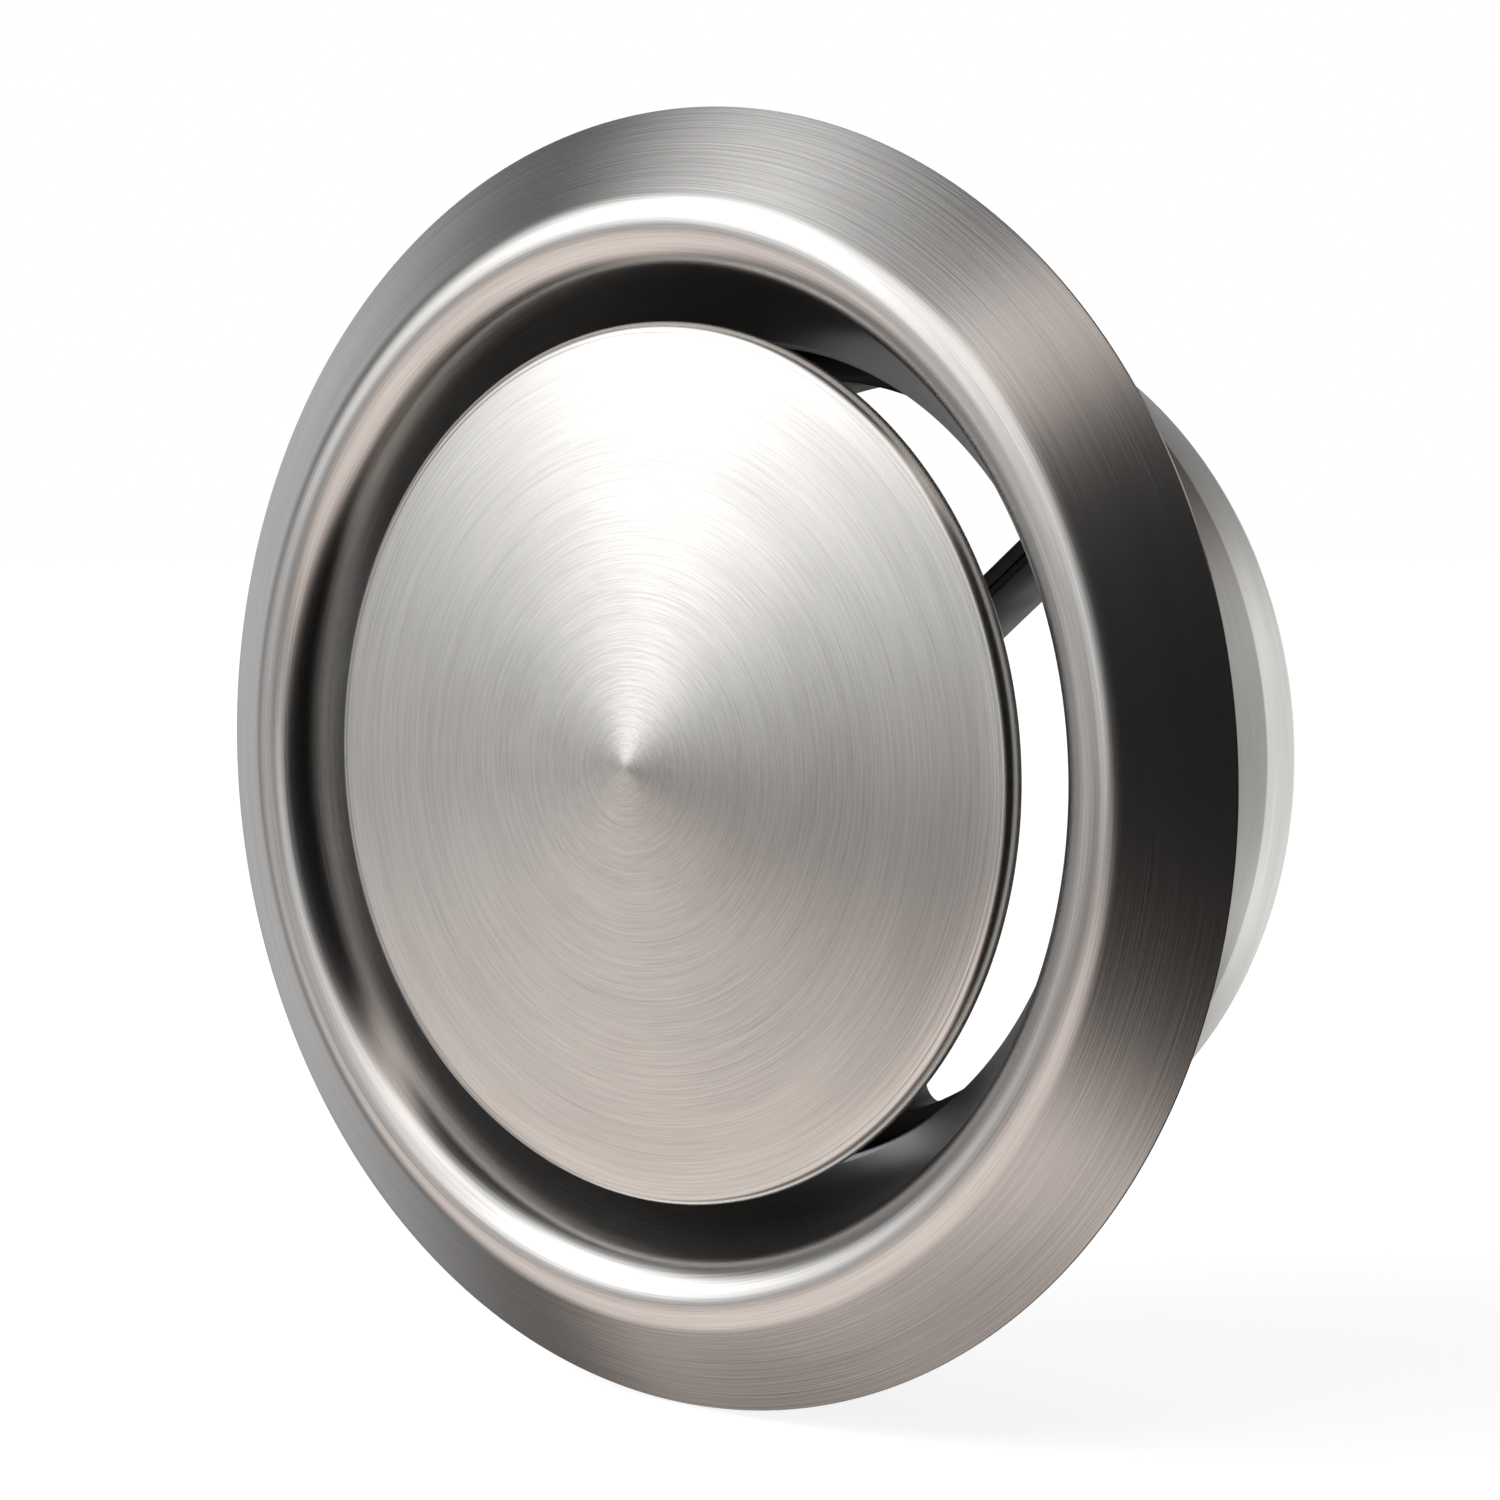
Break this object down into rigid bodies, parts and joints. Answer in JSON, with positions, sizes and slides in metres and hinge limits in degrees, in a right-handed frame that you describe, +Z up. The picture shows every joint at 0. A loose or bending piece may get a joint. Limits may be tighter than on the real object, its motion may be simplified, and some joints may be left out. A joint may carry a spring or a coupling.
{
  "type": "ceiling air diffuser",
  "caption": "Round brushed steel air valve with a bell-mouthed flange, a duct spigot and a shallow conical disc on a screw spindle that sets the air gap.",
  "frame": {"origin": "on the valve's axis, in the plane of the flange's rear edge, where it meets the ceiling or wall", "axes": "+Y along the axis into the duct, so the face looks along -Y; +Z up on a wall; +X to the right seen from the room"},
  "size_m": [0.166, 0.0732, 0.166],
  "materials": {
    "brushed_stainless": "circular brushed",
    "satin_stainless": "mill satin",
    "spun_stainless": "circular brushed",
    "galvanised_plate": "galvanised",
    "zinc_steel": "zinc plated",
    "brass": "turned",
    "black_nylon": "moulded",
    "white_nylon": "punched",
    "foam_rubber": "closed-cell foam"
  },
  "bodies": {
    "housing": {"front_ring": "brushed_stainless", "spigot": "satin_stainless", "flange_gasket": "foam_rubber", "spider": "black_nylon", "hub_insert": "brass", "spider_screw_1": "zinc_steel", "spider_screw_2": "zinc_steel", "spider_screw_3": "zinc_steel", "spider_screw_washer_1": "zinc_steel", "spider_screw_washer_2": "zinc_steel", "spider_screw_washer_3": "zinc_steel"},
    "disc_carriage": {"stop_washer": "white_nylon"},
    "disc_assembly": {"disc": "spun_stainless", "disc_back_plate": "galvanised_plate", "spindle": "zinc_steel", "disc_spring_washer": "zinc_steel", "disc_nut": "zinc_steel", "end_stop_nut": "zinc_steel"},
    "lock_carriage": {"lock_washer": "zinc_steel"},
    "lock_ring": {"lock_nut": "zinc_steel"}
  },
  "joints": [
    {"name": "disc_travel", "type": "slide", "parent": "housing", "child": "disc_carriage", "axis": [0, 1, 0], "range_m": [-0.01, 0.0105]},
    {"name": "disc_turn", "type": "hinge", "parent": "disc_carriage", "child": "disc_assembly", "pos_m": [0, 0, 0], "axis": [0, 1, 0], "range_deg": [-3600, 3780]},
    {"name": "lock_travel", "type": "slide", "parent": "housing", "child": "lock_carriage", "axis": [0, 1, 0], "range_m": [-0.005, 0]},
    {"name": "lock_turn", "type": "hinge", "parent": "lock_carriage", "child": "lock_ring", "pos_m": [0, 0.0224, 0], "axis": [0, 1, 0], "range_deg": [-1800, 0]}
  ],
  "couplings": [
    {"joint": "disc_travel", "follows": "disc_turn", "m_per_rad": 0.00015915},
    {"joint": "lock_turn", "follows": "lock_travel", "rad_per_m": 6283.2}
  ]
}
